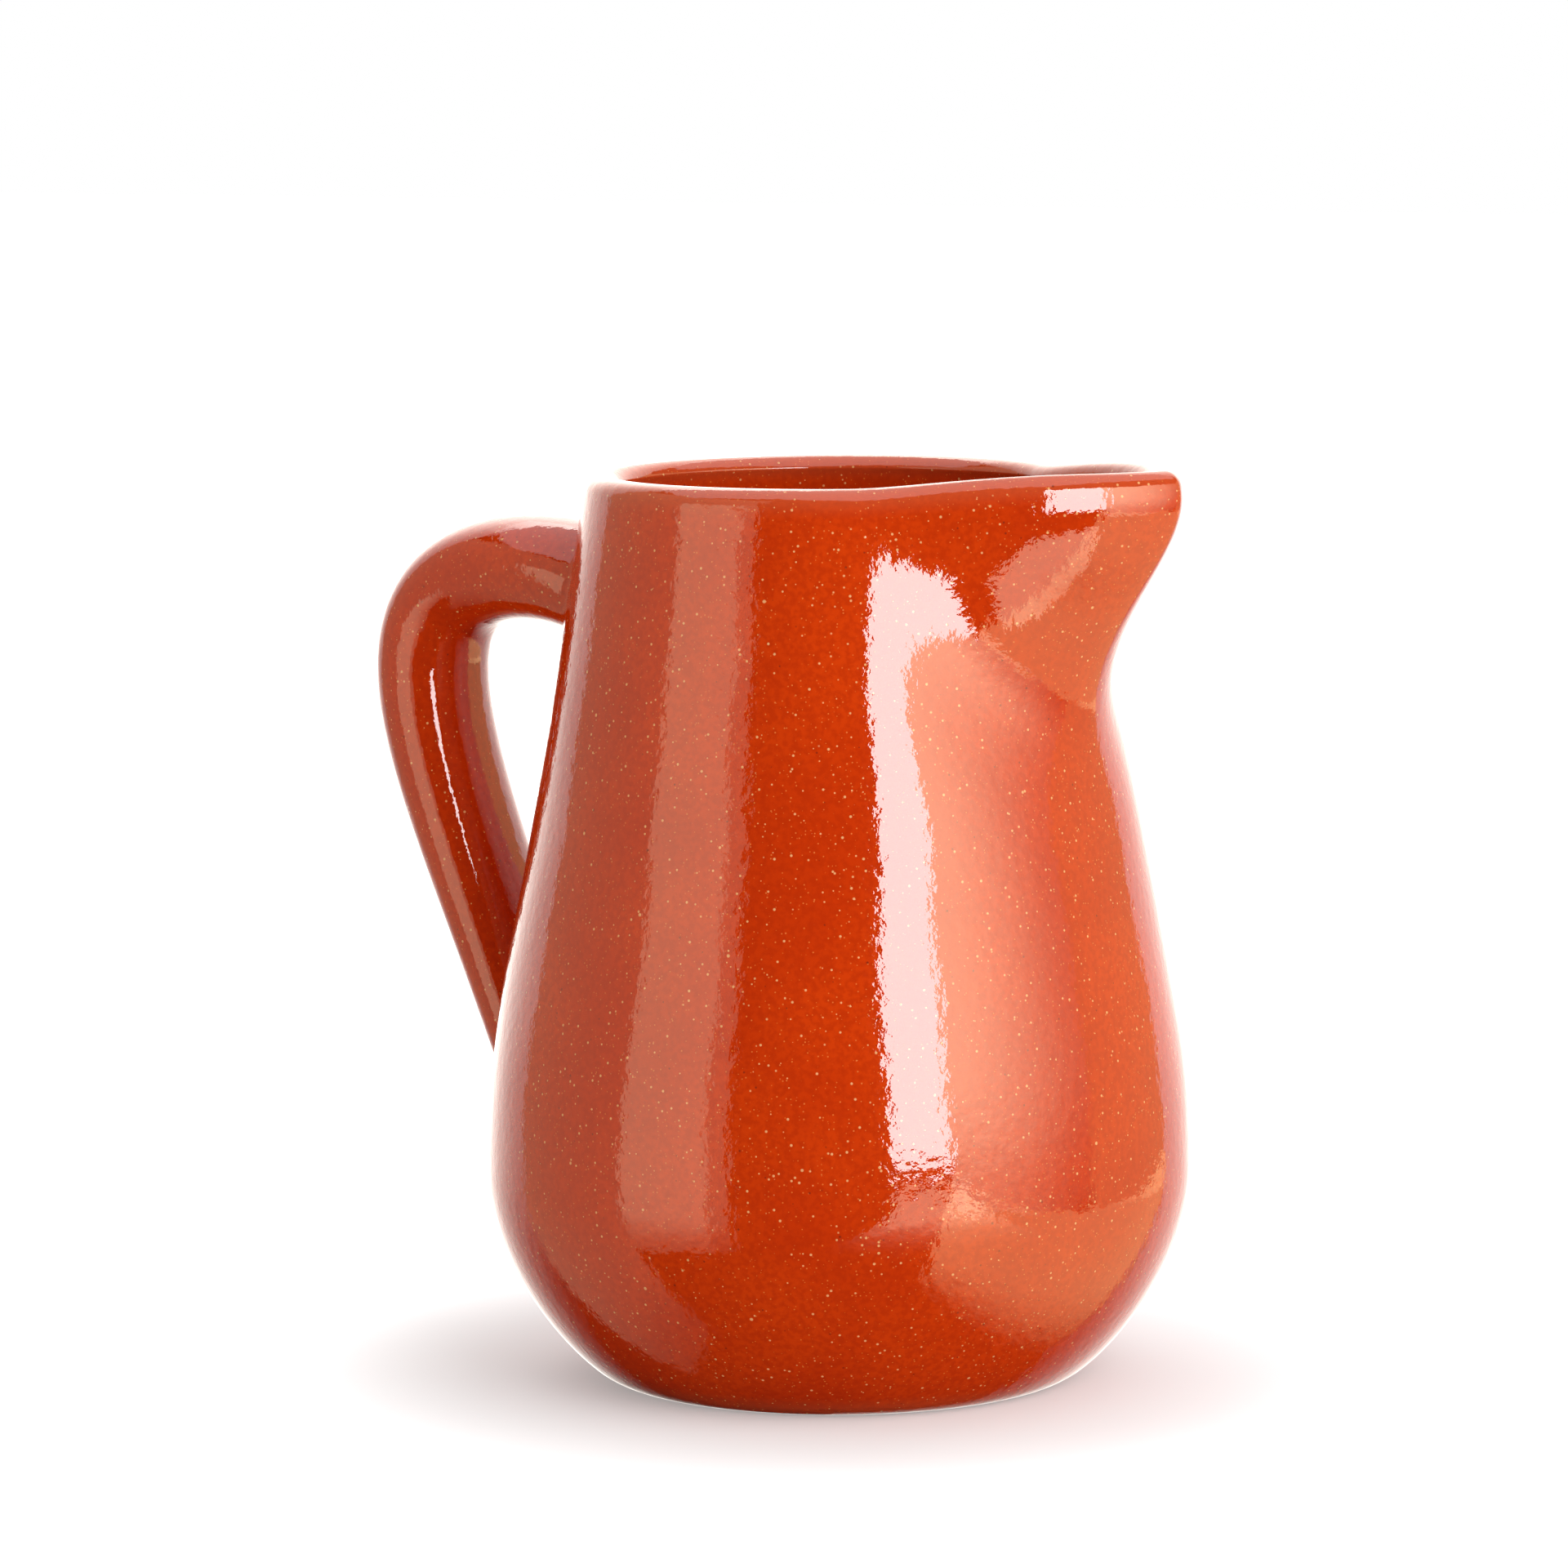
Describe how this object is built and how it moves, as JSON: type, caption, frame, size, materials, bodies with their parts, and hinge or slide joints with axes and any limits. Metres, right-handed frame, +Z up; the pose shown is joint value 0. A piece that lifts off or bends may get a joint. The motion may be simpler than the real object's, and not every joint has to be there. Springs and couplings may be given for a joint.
{
  "type": "pouring jug",
  "caption": "Glazed earthenware jug with a rounded belly, a tall neck, a drawn pouring beak and a strap handle.",
  "frame": {"origin": "centre of the foot, on the plane that the jug stands on", "axes": "+Z up along the body's turning axis, +X towards the beak, the handle towards -X"},
  "size_m": [0.1322, 0.1012, 0.1318],
  "materials": {
    "glazed_clay": "gloss",
    "glazed_slip": "gloss"
  },
  "bodies": {
    "root": {"body": "glazed_clay", "beak": "glazed_clay", "handle": "glazed_clay", "handle_top_slip": "glazed_slip", "handle_foot_slip": "glazed_slip"}
  },
  "joints": []
}
